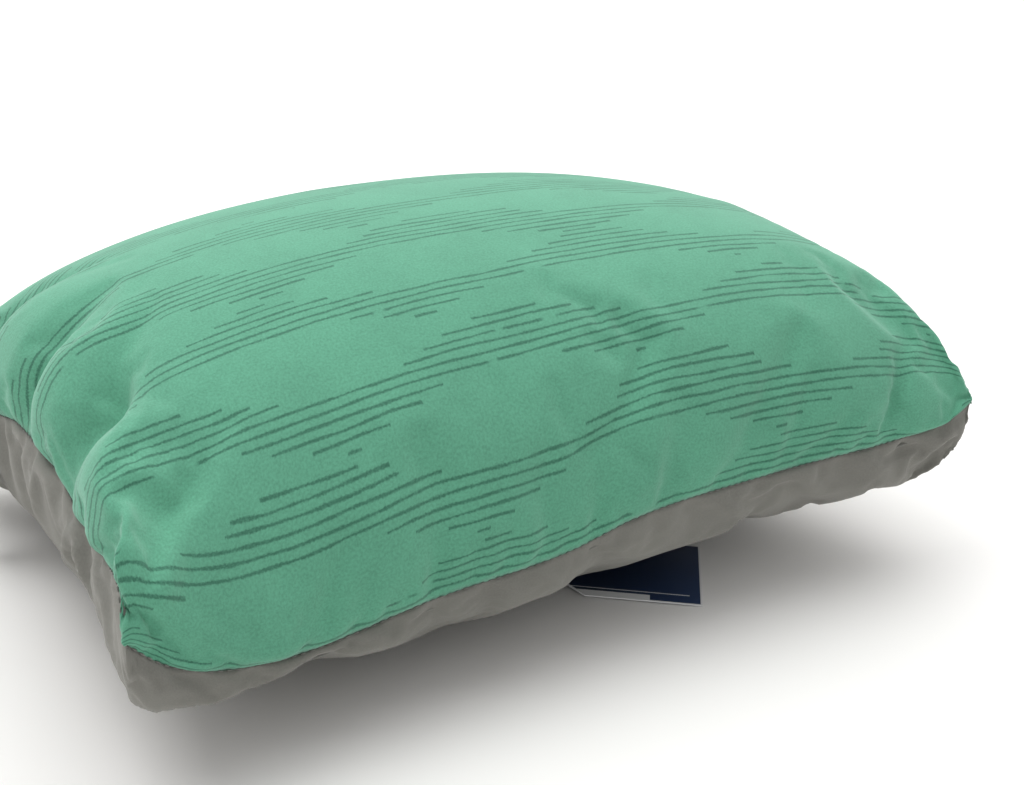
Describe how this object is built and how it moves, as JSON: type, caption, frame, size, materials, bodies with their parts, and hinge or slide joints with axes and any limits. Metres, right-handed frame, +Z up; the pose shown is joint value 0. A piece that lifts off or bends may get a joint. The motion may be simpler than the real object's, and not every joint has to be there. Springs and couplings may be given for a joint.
{
  "type": "camp pillow",
  "caption": "Stuffed rectangular camp pillow with a printed top, plain underside, sewn edge seam, drawcord end with spring lock, and swing tag.",
  "frame": {"origin": "centre of the resting plane's bounding box, under the middle of the pillow", "axes": "+X along the length away from the drawcord end, +Y across the width towards the back seam, +Z up"},
  "size_m": [0.4304, 0.3318, 0.175],
  "materials": {
    "top_fabric": "brushed polyester knit, green with a darker broken line print",
    "base_fabric": "brushed polyester, warm grey",
    "thread": "spun polyester thread",
    "foam": "shredded open-cell foam",
    "cord": "braided polyester cord",
    "eyelet_metal": "gunmetal plated",
    "lock_plastic": "moulded acetal, fine matte",
    "spring_steel": "drawn wire",
    "label_satin": "woven satin tape",
    "tag_card": "coated card, navy with a white edge",
    "loop_nylon": "clear nylon filament"
  },
  "bodies": {
    "pillow": {"top_panel": "top_fabric", "bottom_panel": "base_fabric", "seam_thread": "thread", "foam_fill": "foam", "cord_channel": "base_fabric", "drawcord": "cord", "cord_tacks": "thread", "cord_eyelet": "eyelet_metal", "eyelet_washer": "eyelet_metal", "cord_end": "lock_plastic", "care_label": "label_satin", "tag_loop": "loop_nylon"},
    "cord_lock": {"lock_barrel": "lock_plastic", "lock_spring": "spring_steel"},
    "lock_button": {"lock_plunger": "lock_plastic"},
    "swing_tag": {"hang_tag": "tag_card"}
  },
  "joints": [
    {"name": "lock_slide", "type": "slide", "parent": "pillow", "child": "cord_lock", "axis": [0, 0, -1], "range_m": [0, 0.011]},
    {"name": "button_press", "type": "slide", "parent": "cord_lock", "child": "lock_button", "axis": [0, -1, 0], "range_m": [0, 0.0035], "stiffness_N_per_m": 1200, "springref_m": -0.001, "deforming": ["lock_spring"]},
    {"name": "tag_swing", "type": "hinge", "parent": "pillow", "child": "swing_tag", "pos_m": [0.03491, -0.07744, 0.00156], "axis": [0.6184, 0.7859, 0], "range_deg": [0, 60]}
  ]
}
